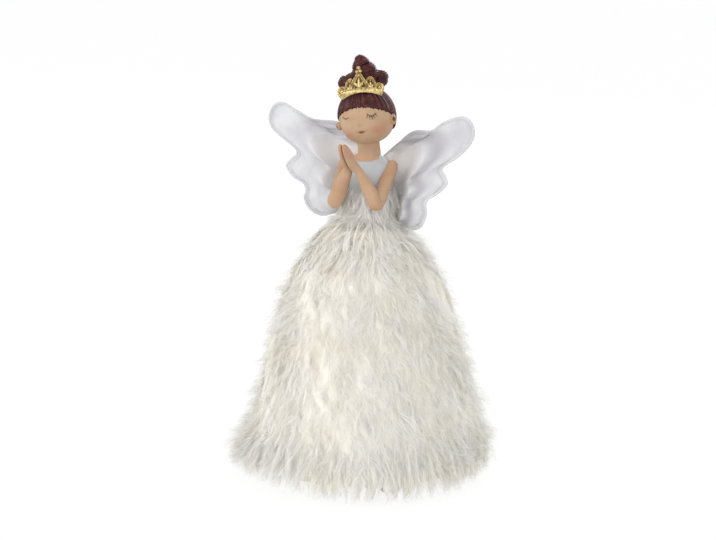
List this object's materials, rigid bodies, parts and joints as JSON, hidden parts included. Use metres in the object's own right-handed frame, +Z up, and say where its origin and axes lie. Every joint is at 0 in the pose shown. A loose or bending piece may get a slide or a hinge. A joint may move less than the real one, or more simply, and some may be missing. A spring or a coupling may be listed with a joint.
{
  "type": "light-up angel figurine",
  "caption": "Standing angel with praying hands, gold crown, padded satin wings and a long fur skirt over a lit cone; battery box with cover and slide switch in its base.",
  "frame": {"origin": "on the surface that it stands on, under the axis of the skirt cone and of the post", "axes": "+Z up, along the cone's axis; the angel faces -Y; +X is towards its left hand"},
  "size_m": [0.1677, 0.167, 0.2765],
  "materials": {
    "fur": "long white synthetic fur",
    "satin": "padded white satin",
    "skin": "cast resin, painted, satin gloss",
    "bodice": "cast resin, painted white",
    "hair": "cast resin, painted dark red brown",
    "gold": "cast resin, gold paint",
    "silver": "silver bead braid",
    "felt": "white felt",
    "carcass": "translucent white sheet and moulding",
    "plastic": "moulded white",
    "wood": "plain dowel",
    "steel": "zinc plated",
    "nickel": "nickel plated",
    "cell": "plain dark sleeve",
    "black_plastic": "moulded black",
    "board": "green coated board",
    "lens": "clear warm lens, unlit",
    "resistor": "coated body with colour bands",
    "red_lead": "insulated wire",
    "black_lead": "insulated wire"
  },
  "bodies": {
    "figure": {"skirt_fur": "fur", "bodice_fur": "fur", "wing_left": "satin", "wing_right": "satin", "wing_wire_left": "satin", "wing_wire_right": "satin", "head": "skin", "arm_left": "skin", "arm_right": "skin", "torso": "bodice", "hair_cap": "hair", "hair_bun": "hair", "crown": "gold", "waist_belt": "silver", "wing_patch": "felt", "skirt_cone": "carcass", "cone_cap": "carcass", "base_plate": "plastic", "foot_1": "plastic", "foot_2": "plastic", "foot_3": "plastic", "foot_4": "plastic", "battery_box": "plastic", "bust_post": "wood", "spring_1": "steel", "spring_2": "steel", "contact_bridge": "nickel", "contact_positive": "nickel", "contact_negative": "nickel", "cell_1": "cell", "cell_2": "cell", "switch_body": "black_plastic", "led_board": "board", "led_1": "lens", "led_2": "lens", "led_3": "lens", "led_4": "lens", "resistor": "resistor", "lead_positive": "red_lead", "lead_negative": "black_lead", "lead_switched": "black_lead"},
    "cover": {"battery_door": "plastic"},
    "screw": {"door_screw": "steel"},
    "knob": {"switch_knob": "plastic"}
  },
  "joints": [
    {"name": "cover_hinge", "type": "hinge", "parent": "figure", "child": "cover", "pos_m": [-0.03925, 0, 0.01175], "axis": [0, 1, 0], "range_deg": [0, 35]},
    {"name": "screw_turn", "type": "hinge", "parent": "cover", "child": "screw", "pos_m": [0.02485, 0, 0.0107], "axis": [0, 0, 1], "continuous": true},
    {"name": "switch_slide", "type": "slide", "parent": "figure", "child": "knob", "axis": [0, 1, 0], "range_m": [0, 0.0035]}
  ]
}
